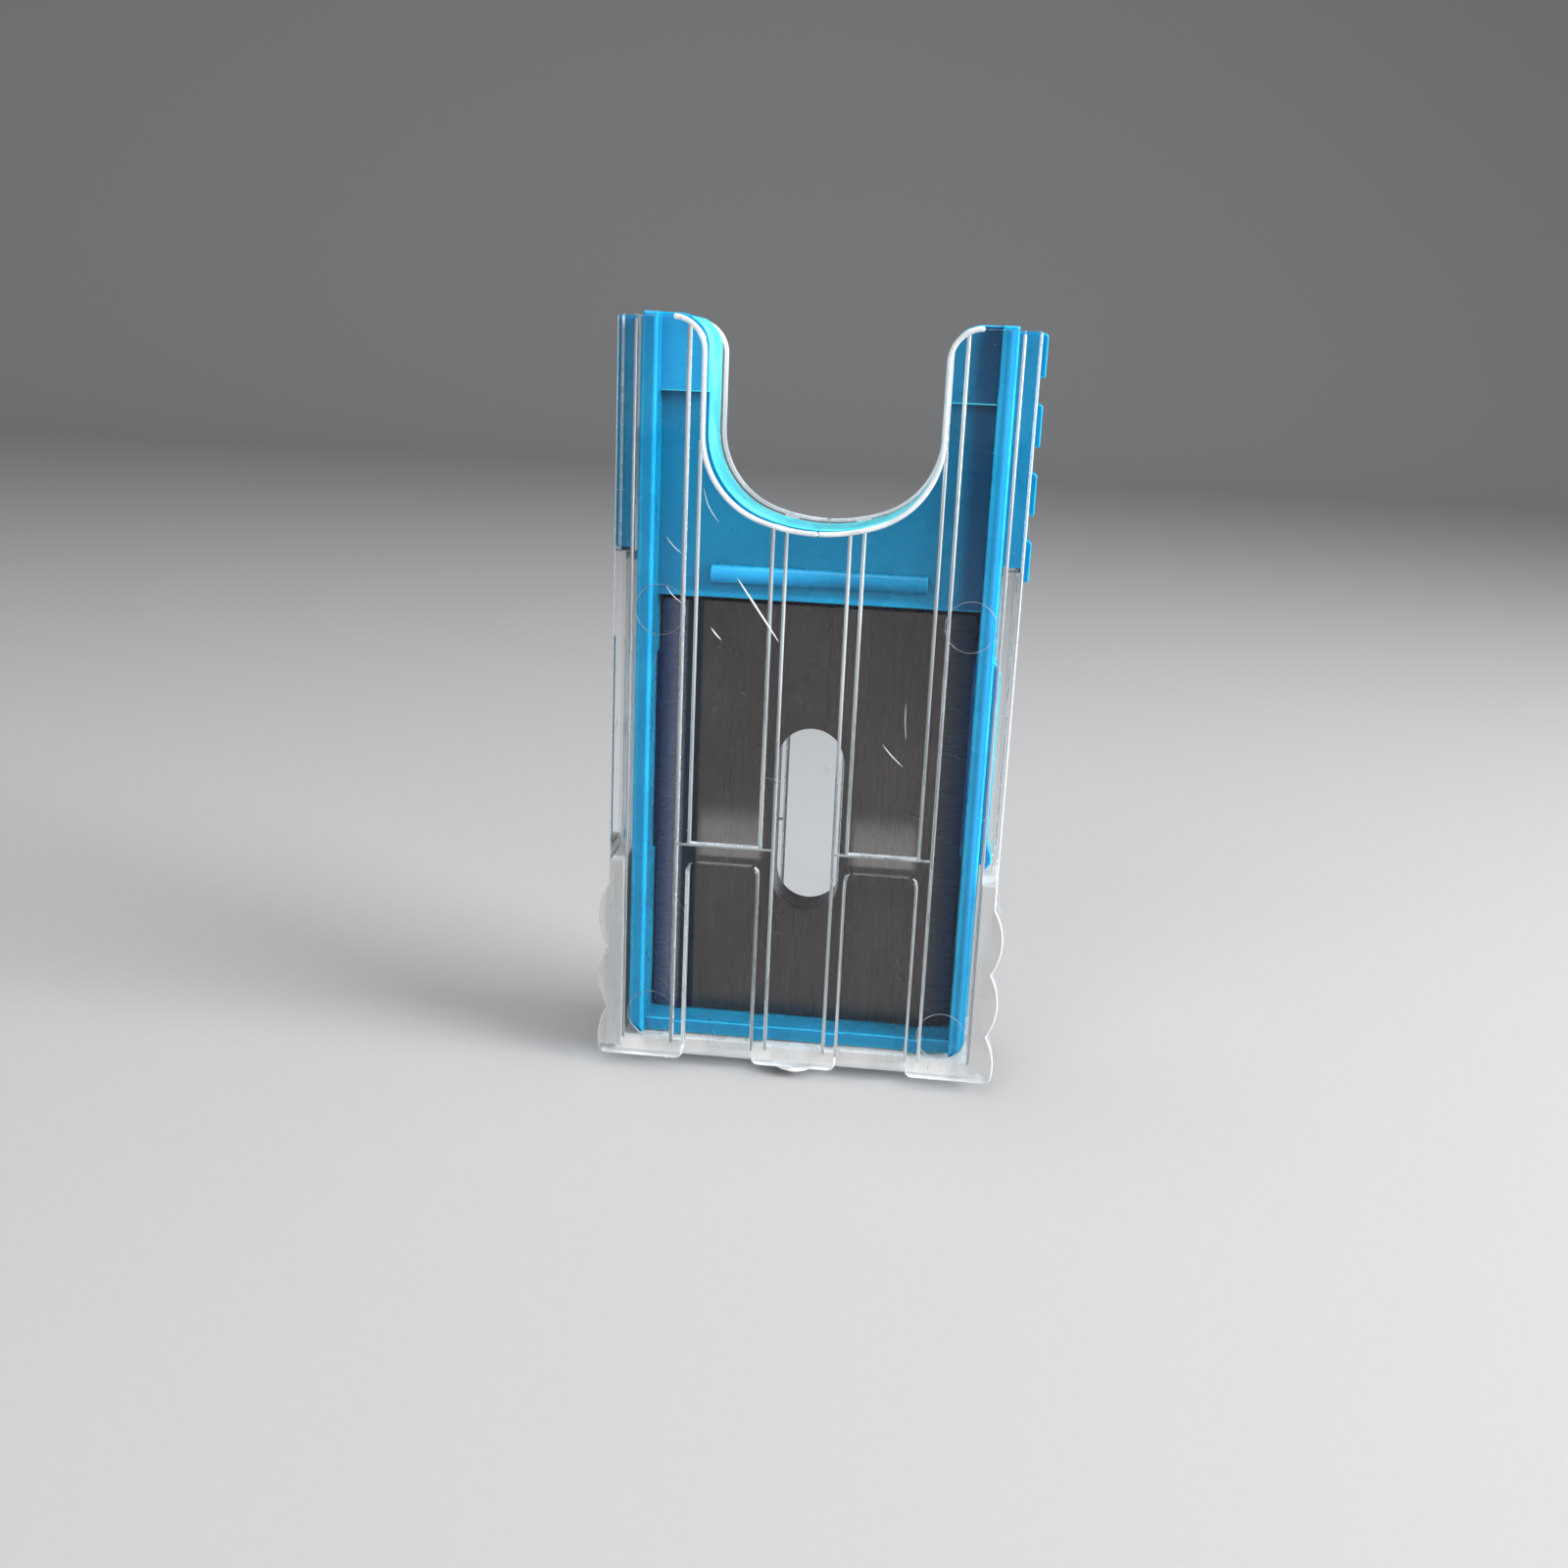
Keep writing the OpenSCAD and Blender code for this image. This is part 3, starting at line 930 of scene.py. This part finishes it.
@dataclass
class ClearSleeve(Moulding):
    """The clear sleeve with its deep scratches, beads of painted highlight along its edges and whitish blocks of
    painted light inside its thick walls, in millimetres.
    """

    body: Body = Body.SLEEVE
    slot: Slot = Slot.CLEAR
    edge_radius: float = 0.12 * MM
    edge_segments: int = 3
    front: float = 6.575
    wall: float = 5.375
    top: float = 67.3
    base: float = 1.2
    gate_gap: float = 0.02
    foot_gap: float = 0.1
    edge_reach: float = 0.15
    rib_sides: tuple[float, float, float, float] = (2.7, 3.9, 10.3, 11.5)
    rib_low: float = 2.4
    rib_gap: float = 0.1
    # Radii of white beads of painted highlight along ribs, box, pockets, cavity, notch and marks, and how their ends
    # taper
    rib_glint: float = 0.16
    side_line_top: float = 57.6
    box_top: float = 21.8
    box_glint: float = 0.12
    low_end: float = 2.6
    pocket_top: float = 20.3
    pocket_round: float = 0.8
    pocket_facing: float = 0.5
    pocket_glints: Pair = (0.14, 0.1)
    cavity_half: float = 16.0
    cavity_gap: float = 0.2
    cavity_glint: float = 0.14
    notch_half: float = 10.05
    notch_curves: Triple = (2.7, 7.5, 15.0)
    notch_low: float = 50.15
    notch_glint: float = 0.22
    mark_radius: float = 2.2
    mark_side: float = 13.4
    mark_heights: Pair = (5.2, 42.9)
    mark_glint: float = 0.03
    glint_taper: float = 0.1
    glint_tip: float = 0.01
    side: float = 17.4
    bump_radius: float = 6.0
    bump_centre: float = 12.3
    bump_heights: Triple = (2.8, 8.8, 14.8)
    bump_gap: float = 0.12
    # Blocks of painted light inside the thick walls: heights of the side blocks, and the foot block's half width,
    # half depth, low and top
    glow_block_ends: Pair = (2.1, 20.1)
    foot_glow_block: tuple[float, float, float, float] = (16.8, 5.2, 1.35, 2.68)
    pocket_edges: Zone = Zone((3.9, 10.3), (5.4, 99.0), (19.3, 20.6))
    pocket_walls: Zone = Zone((-1.0, 10.5), (5.4, 6.55), (2.5, 21.0))
    rib_walls: Zone = Zone((-1.0, 11.7), (4.1, 5.4))
    notch_walls: Zone = Zone((-1.0, 12.8), (5.4, 99.0), (49.0, 99.0))
    outer_sides: Zone = Zone((17.3, 99.0), z=(-1.0, 47.5))
    scratch_tip: float = 0.004
    scratch_flatness: float = 0.16
    scratches: tuple[Scratch, ...] = (
        Scratch((-6.7, 46.1), (-2.9, 40.8), 0.17),
        Scratch((-8.8, 41.7), (-7.9, 40.7), 0.12, 0.05),
        Scratch((-12.9, 49.3), (-11.5, 47.9), 0.05, 0.1),
        Scratch((-9.8, 53.5), (-8.4, 50.7), 0.05, 0.25),
        Scratch((-12.8, 45.1), (-11.4, 43.7), 0.06, 0.15),
        Scratch((6.5, 32.4), (8.4, 30.5), 0.08, 0.08),
        Scratch((8.3, 36.2), (8.5, 32.9), 0.04, 0.05),
    )

    def rounded(self, middle: Vector, outward: bool) -> float:
        """Rounds no inward edge and none on the inner walls."""
        return float(outward and abs(abs(middle.y) - self.wall) > self.edge_reach)

    def finish(self, middle: Vector, normal: Vector, rounding: bool) -> int:
        """Chooses the finish of one face of the sleeve.

        The gate is broken white. Roundings below the top and the walls of ribs and pockets get a white coat of
        painted highlight, but not the pockets' upper edges. The bottom and the notch's walls get a whiter coat of
        painted light, and the outer sides and the top are frosted.

        Args:
            middle: Middle of the face in millimetres.
            normal: Normal of the face.
            rounding: Whether the face is part of a rounding.

        Returns:
            The face's material number.
        """
        at_top = middle.z > self.top - self.edge_reach
        sideways = abs(normal.y) < ASIDE
        if middle.z < self.base - self.gate_gap:
            return SleeveFace.BROKEN
        if at_top and normal.z > ALONG:
            return SleeveFace.FROSTED
        if rounding:
            return SleeveFace.CLEAR if at_top or self.pocket_edges.holds(middle) else SleeveFace.PAINTED_GLINT
        if middle.z < self.base + self.foot_gap or sideways and self.notch_walls.holds(middle):
            return SleeveFace.PAINTED_GLOW
        if abs(normal.x) > ASIDE and self.outer_sides.holds(middle):
            return SleeveFace.FROSTED
        on_pocket = abs(normal.x) > self.pocket_facing and self.pocket_walls.holds(middle)
        if on_pocket or sideways and self.rib_walls.holds(middle):
            return SleeveFace.PAINTED_GLINT
        return SleeveFace.CLEAR

    def scratch_surface(self, scratch: Scratch, depth: float) -> Surface:
        """Works out one scratch as a thin sliver.

        The sliver runs along a bowed line. Its width goes as the root of the sine of the way along it, and across
        it the surface is a flat half round.

        Args:
            scratch: The scratch.
            depth: Y of the front face in metres.

        Returns:
            Its surface.
        """
        along = np.linspace(0.0, 1.0, 17)[:, None]
        start, end = np.array(scratch.start), np.array(scratch.end)
        way = (end - start) / np.linalg.norm(end - start)
        half = scratch.width / 2 * np.sqrt(np.sin(math.pi * np.clip(along, self.scratch_tip, 1 - self.scratch_tip)))
        off = scratch.bow * np.sin(math.pi * along) + half * np.cos(AROUND)
        x = start[0] + along * (end - start)[0] + off * way[1]
        z = start[1] + along * (end - start)[1] - off * way[0]
        y = depth / MM - self.scratch_flatness * half * np.sin(AROUND)
        return grid_surface(x, y, z)

    def notch_path(self) -> np.ndarray:
        """Works out one half of the thumb notch's edge.

        From the top face it turns down along a quarter round, goes straight down, and then along two arcs that touch
        each other, up to the lowest point in the middle.

        Returns:
            Points in X and Z in millimetres, one row each.
        """
        mouth, side, bottom = self.notch_curves
        bottom_z = self.notch_low + bottom
        side_x = self.notch_half - side
        side_z = bottom_z - math.sqrt((bottom - side) ** 2 - side_x ** 2)
        meet = math.atan2(side_z - bottom_z, side_x)
        return np.concatenate([
            arc((self.notch_half + mouth, self.top - mouth), mouth, math.pi / 2, math.pi),
            arc((side_x, side_z), side, 0.0, meet),
            arc((0.0, bottom_z), bottom, meet, -math.pi / 2)[1:]])

    def glint_beads(self) -> list[GlintBead]:
        """Lists the beads of painted highlight along the edges of the right half of the front wall.

        Returns:
            The beads.
        """
        notch = self.notch_path()
        mouth = notch[ARC_POINTS - 1::-1]
        tops = np.interp(self.rib_sides, notch[::-1, 0], notch[::-1, 1])
        tops[2:] = self.side_line_top, np.interp(self.rib_sides[3], mouth[:, 0], mouth[:, 1])
        lows = (self.rib_low, self.box_top, self.box_top, self.rib_low)
        glint_beads = [GlintBead(np.array([[x, low], [x, high]]), self.wall, self.rib_glint, Tone.SOFT)
                 for x, low, high in zip(self.rib_sides, lows, tops - self.rib_gap)]
        glint_beads += [GlintBead(arc((self.mark_side, height), self.mark_radius, math.pi / 2, -1.5 * math.pi, FINE_POINTS),
                       self.wall, self.mark_glint, Tone.FAINT, front_only=True) for height in self.mark_heights]
        pocket = []
        for x, start in ((self.rib_sides[2] - self.pocket_round, 0.0),
                         (self.rib_sides[1] + self.pocket_round, math.pi)):
            bend = arc((x, self.pocket_top - self.pocket_round), self.pocket_round, start,
                       (start + math.pi / 2) / 2, 4)
            pocket.append(np.concatenate([[[bend[0, 0], self.low_end]], bend]))
        glint_beads += [GlintBead(path, depth, radius, Tone.FAINT)
                  for depth, radius in zip((self.front, self.wall), self.pocket_glints) for path in pocket]
        box = np.array([[self.rib_sides[0], self.box_top], [self.rib_sides[3], self.box_top]])
        corner = np.array([[self.cavity_half, self.low_end], [self.cavity_half, self.top - self.cavity_gap]])
        return glint_beads + [GlintBead(notch, self.front, self.notch_glint, Tone.BRIGHT),
                        GlintBead(corner, self.wall, self.cavity_glint, Tone.SOFT),
                        GlintBead(box, self.wall, self.box_glint, Tone.FAINT)]

    def glint_bead_surface(self, glint_bead: GlintBead, side: float, face: float) -> Surface:
        """Works out one painted highlight along an edge as a thin round bead.

        A circle is carried along the path, square to it. It shrinks to a point at both ends.

        Args:
            glint_bead: The bead of painted highlight.
            side: 1 for the right half, -1 for the left half.
            face: 1 for the front wall, -1 for the back wall.

        Returns:
            Its surface.
        """
        path = glint_bead.path * [side, 1.0]
        steps = np.array([path[1] - path[0], path[-2] - path[-1]])
        ends = path[[0, -1]] + self.glint_taper * steps / np.linalg.norm(steps, axis=1)[:, None]
        line = np.concatenate([path[:1], ends[:1], path[1:-1], ends[1:], path[-1:]])
        way = np.gradient(line, axis=0)
        way /= np.linalg.norm(way, axis=1)[:, None]
        radius = np.full((len(line), 1), glint_bead.radius)
        radius[[0, -1]] = self.glint_tip
        x = line[:, :1] + radius * np.cos(AROUND) * way[:, 1:]
        z = line[:, 1:] - radius * np.cos(AROUND) * way[:, :1]
        y = -glint_bead.depth * face - radius * np.sin(AROUND)
        points, faces = grid_surface(x, y, z)
        return points, faces if side == face else faces[:, ::-1]

    def build_glint_beads(self, tone: Tone, finish: FrostAndPaintedLightPlastic) -> None:
        """Builds the painted highlight beads of one tone as one piece, mirrored from side to side and most of them to
        the back.

        Args:
            tone: Which of the beads.
            finish: The piece's finish.
        """
        piece = new_piece(tone.value, *(
            self.glint_bead_surface(glint_bead, side, face) for glint_bead in self.glint_beads() if glint_bead.tone == tone
            for face in ((1.0,) if glint_bead.front_only else (1.0, -1.0)) for side in (1.0, -1.0)))
        self.dress(piece, finish.material())

    def glow_block_surface(self, height: np.ndarray, inner: np.ndarray, outer: np.ndarray, half_depth: float) -> Surface:
        """Works out a block of whitish plastic inside the wall, which holds painted light.

        A rectangle from the inner to the outer X is carried up along the heights. Its first and last copies shrink
        to their centres, which closes the block.

        Args:
            height: Z of each copy.
            inner: X of its inner side.
            outer: X of its outer side.
            half_depth: Half its size along Y.

        Returns:
            Its surface.
        """
        corner_x = np.stack([inner, outer, outer, inner], axis=-1)
        corner_y = half_depth * np.array([-1.0, -1.0, 1.0, 1.0])
        rings = np.stack(np.broadcast_arrays(corner_x, corner_y, height[:, None]), axis=-1)
        ends = np.broadcast_to(rings[[0, -1]].mean(axis=1, keepdims=True), (2, 4, 3))
        return grid_surface(*np.moveaxis(np.concatenate([ends[:1], rings, ends[1:]]), -1, 0))

    def build_clouds(self) -> None:
        """Builds whitish blocks of painted light in the bottom and in the side walls behind the finger bumps.

        The outer side of each wall's block follows the bumps: at each height it is the farther out of the plain side
        and of a circle round the nearest bump's centre, less a margin.
        """
        height = np.linspace(*self.glow_block_ends, FINE_POINTS)
        away = np.abs(height[:, None] - np.array(self.bump_heights)).min(axis=1)
        bulge = self.bump_centre + np.sqrt(self.bump_radius ** 2 - np.minimum(away, self.bump_radius) ** 2)
        outer = np.maximum(self.side, bulge) - self.bump_gap
        inner = np.full_like(outer, self.cavity_half + self.bump_gap)
        deep = self.front - self.bump_gap
        walls = new_piece("side_glow_blocks", self.glow_block_surface(height, inner, outer, deep),
                          self.glow_block_surface(height, -outer, -inner, deep))
        half, deep, low, high = self.foot_glow_block
        foot = new_piece("foot_glow_block", self.glow_block_surface(
            np.array([low, high]), np.array([-half, -half]), np.array([half, half]), deep))
        # Whitish blocks that paint light into the shaded bottom and the thick walls behind the bumps
        cloudy = FrostAndPaintedLightPlastic("painted_glow_plastic", (0.54, 0.53, 0.53), (0.44, 0.435, 0.435), 0.25)
        dense = FrostAndPaintedLightPlastic("dense_painted_glow_plastic", (0.72, 0.7, 0.69), (0.6, 0.59, 0.58), 0.2)
        for piece, finish in ((walls, cloudy), (foot, dense)):
            piece.data.shade_flat()
            self.dress(piece, finish.material())

    def build(self) -> None:
        """Builds the sleeve with its scratches, beads of painted highlight and blocks of painted light."""
        shell = self.softened("sleeve", "sleeve_shell")
        # White coats: painted highlight on roundings and rib and pocket walls, and a whiter coat of painted light on
        # the bottom and the notch's walls
        edge_glint_coat = FrostAndPaintedLightPlastic("painted_edge_glint", (0.86, 0.88, 0.89), None, 0.45, (0.15, 0.42), cloud_scale=700.0,
                                 cloud_squeeze=1.0, worn_skin=True)
        glow_white_coat = FrostAndPaintedLightPlastic("painted_glow_white", (0.74, 0.74, 0.74), (0.6, 0.61, 0.62), 0.3)
        frosted = FrostAndPaintedLightPlastic("frosted_plastic", (0.5, 0.51, 0.53), (0.38, 0.40, 0.43), 0.72)
        finishes = ClearPlastic(), edge_glint_coat, glow_white_coat, frosted, ScoredPlastic()
        self.dress(shell, *(finish.material() for finish in finishes))
        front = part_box("sleeve")[0].y
        cuts = new_piece("front_scratches", *(self.scratch_surface(scratch, front) for scratch in self.scratches))
        self.dress(cuts, shell.data.materials[SleeveFace.BROKEN])
        # Beads of painted highlight along the edges, in three brightnesses
        self.build_glint_beads(Tone.BRIGHT, FrostAndPaintedLightPlastic("bright_painted_glint_plastic", (0.78, 0.8, 0.82),
                                                      (0.6, 0.64, 0.67), 0.25))
        self.build_glint_beads(Tone.SOFT, FrostAndPaintedLightPlastic())
        self.build_glint_beads(Tone.FAINT, FrostAndPaintedLightPlastic("faint_painted_glint_plastic", transmission=0.75))
        self.build_clouds()


@dataclass
class BlueTray(Moulding):
    """The blue sliding tray.

    Its patches are painted light and shade: painted shade in a dark band on the plate beside the right wall, and
    painted highlights on the outer edge of that wall, on the end of the ridge, on the lower edge of the plate and on
    the plate beside the left wall.
    """

    slot: Slot = Slot.BLUE
    edge_radius: float = 0.34 * MM
    edge_segments: int = 4
    front: float = 5.175
    front_gap: float = 0.02
    inner_share: float = 0.35
    notch: Zone = Zone((-1.0, 13.0), z=(49.0, 67.4))
    notch_back: float = -1.0
    notch_walls: Zone = Zone((-1.0, 11.5), z=(49.0, 67.4))
    grips: float = 17.7
    # Painted shade beside the right wall, then painted highlights on that wall's outer edge, the ridge's end, the
    # plate's lower edge and the plate beside the left wall
    painted_light_patches: tuple[PaintedLightPatch, ...] = (
        PaintedLightPatch((0.0, 0.05, 0.14), (11.4, 13.0, 14.3, 14.35), (-5.05, -5.0, 6.0, 7.0), (40.0, 41.0, 68.0, 69.0)),
        PaintedLightPatch((0.03, 0.42, 0.66), (14.7, 15.2, 15.7, 15.8), (-6.0, -5.9, -5.1, -5.0), (0.0, 1.0, 68.0, 69.0)),
        PaintedLightPatch((0.01, 0.36, 0.66), (-10.0, -9.5, -6.0, 3.0), (-4.0, -3.9, -2.6, -2.5), (44.9, 45.0, 46.8, 46.9)),
        PaintedLightPatch((0.005, 0.3, 0.55), (-14.3, -12.0, 6.0, 13.0), (-4.0, -3.9, 0.0, 0.1), (43.7, 43.75, 44.1, 44.5)),
        PaintedLightPatch((0.005, 0.32, 0.58), (-14.4, -14.3, -12.0, -7.0), (-4.0, -3.9, -3.0, -2.9), (61.2, 61.3, 68.0, 69.0)),
    )

    def rounded(self, middle: Vector, outward: bool) -> float:
        """Rounds outward edges only, to the full radius along the tray's front."""
        return outward * (1.0 if abs(middle.y + self.front) < self.front_gap else self.inner_share)

    def finish(self, middle: Vector, normal: Vector, rounding: bool) -> int:
        """Chooses the finish of one face of the tray.

        Roundings and the right grips get a lighter copy of the blue, painted light on faces that catch the lamps.
        The notch's walls and its roundings near the front get a brighter copy still, painted light on the notch.

        Args:
            middle: Middle of the face in millimetres.
            normal: Normal of the face.
            rounding: Whether the face is part of a rounding.

        Returns:
            The face's material number.
        """
        if rounding:
            at_notch = self.notch.holds(middle) and middle.y < self.notch_back
            return TrayFace.PAINTED_LIT_WALL if at_notch else TrayFace.PAINTED_LIT_EDGE
        if abs(normal.y) < ASIDE and self.notch_walls.holds(middle):
            return TrayFace.PAINTED_LIT_WALL
        return TrayFace.PAINTED_LIT_EDGE if normal.x > ALONG and middle.x > self.grips else TrayFace.PLAIN

    def build(self) -> None:
        """Builds the tray."""
        # The plain blue, then lighter copies that are painted light: on edges and right grips, and brighter on the
        # notch's walls
        finishes = (BluePlastic(painted_light_patches=self.painted_light_patches),
                    BluePlastic("blue_painted_lit_edge", (0.002, 0.27, 0.46), (0.004, 0.32, 0.51)),
                    BluePlastic("blue_painted_lit_wall", (0.06, 0.62, 0.76), (0.14, 0.74, 0.86)))
        self.dress(self.softened("tray", "tray_moulding"), *(finish.material() for finish in finishes))


@dataclass
class BladeStack(Moulding):
    """The stack of slotted blades in the tray."""

    def build(self) -> None:
        """Builds the blades."""
        steel = BladeSteel().material()
        for node in sorted(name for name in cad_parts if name.startswith("blade_")):
            self.dress(self.softened(node, node.replace("blade", "steel_blade")), steel, steel)


# ---- Studio ----


@dataclass(frozen=True)
class Lamp:
    """One soft area lamp aimed at the middle of the case."""

    name: str
    place: Triple
    size: float
    power: float


@dataclass
class Studio:
    """Lamps and camera, in metres and degrees, floor, in millimetres, and how light is followed."""

    lamps: tuple[Lamp, ...] = (
        Lamp("key", (0.45, -0.12, 0.27), 0.30, 5.6),
        Lamp("fill", (-0.24, -0.44, 0.34), 0.30, 0.8),
        Lamp("top", (-0.05, 0.02, 0.50), 0.28, 1.2),
    )
    sky: float = 0.42
    sky_colour: Colour = (0.97, 0.985, 1.0)
    eye: Triple = (9.96 * MM, -138.28 * MM, 63.51 * MM)
    turn: float = 5.15
    tilt: float = 14.93
    roll: float = 2.58
    lens: float = 35.73
    sensor: float = 36.0
    sight: Pair = (0.005, 20.0)
    floor_half: float = 2000.0
    floor_front: float = -1500.0
    sweep_start: float = 900.0
    sweep_radius: float = 600.0
    sweep_top: float = 1600.0
    bounces: int = 24
    clamp: float = 3.0

    def build_floor(self) -> None:
        """Builds the floor: a flat stretch, a quarter round up and a wall, carried across from side to side."""
        bend = arc((self.sweep_start, self.sweep_radius), self.sweep_radius, -math.pi / 2, 0.0, 33)
        profile = np.concatenate([[[self.floor_front, 0.0]], bend,
                                  [[self.sweep_start + self.sweep_radius, self.sweep_top]]])
        across = np.linspace(-self.floor_half, self.floor_half, 3)
        floor = new_piece("studio_floor", grid_surface(across, profile[:, :1], profile[:, 1:], False))
        floor.data.materials.append(StudioPaint().material())
        floor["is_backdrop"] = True
        log.info("floor %s", floor.name)

    def build_lamps(self, aim: Vector) -> None:
        """Builds the lamps and the even light of the world.

        Args:
            aim: Point that the lamps face.
        """
        for lamp in self.lamps:
            data = bpy.data.lights.new(lamp.name, "AREA")
            data.shape = "DISK"
            data.size = lamp.size
            data.energy = lamp.power
            light = linked(lamp.name, data)
            light.location = lamp.place
            light.rotation_euler = (aim - Vector(lamp.place)).to_track_quat("-Z", "Y").to_euler()
            log.info("lamp %s", lamp.name)
        world = bpy.data.worlds.new("soft_daylight")
        world.use_nodes = True
        tree = Tree(world.node_tree)
        sky = tree.add("Background", Color=self.sky_colour, Strength=self.sky)
        tree.add("OutputWorld", Surface=sky.outputs[0])
        bpy.context.scene.world = world

    def build_camera(self) -> None:
        """Builds the camera: turned about Z, tilted down from level and rolled about its own line of sight."""
        data = bpy.data.cameras.new("camera")
        data.lens = self.lens
        data.sensor_width = self.sensor
        data.clip_start, data.clip_end = self.sight
        camera = linked("camera", data)
        camera.matrix_world = (
            Matrix.Translation(self.eye)
            @ Matrix.Rotation(math.radians(self.turn), 4, "Z")
            @ Matrix.Rotation(math.radians(90 - self.tilt), 4, "X")
            @ Matrix.Rotation(math.radians(self.roll), 4, "Z"))
        bpy.context.scene.camera = camera
        log.info("camera at %s", self.eye)

    def build(self) -> None:
        """Builds the whole studio and sets how clear plastic is followed and how colours are shown."""
        self.build_camera()
        self.build_floor()
        low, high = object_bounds()
        self.build_lamps((low + high) / 2)
        scene = bpy.context.scene
        scene.view_settings.view_transform = "Standard"
        scene.cycles.max_bounces = self.bounces
        scene.cycles.transmission_bounces = self.bounces
        scene.cycles.transparent_max_bounces = self.bounces
        scene.cycles.sample_clamp_indirect = self.clamp


def main() -> None:
    """Builds the studio and the three sub-assemblies."""
    logging.basicConfig(level=logging.INFO, format="%(name)s: %(message)s")
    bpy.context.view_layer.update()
    Studio().build()
    ClearSleeve().build()
    BlueTray().build()
    BladeStack().build()


if __name__ == "__main__":
    main()
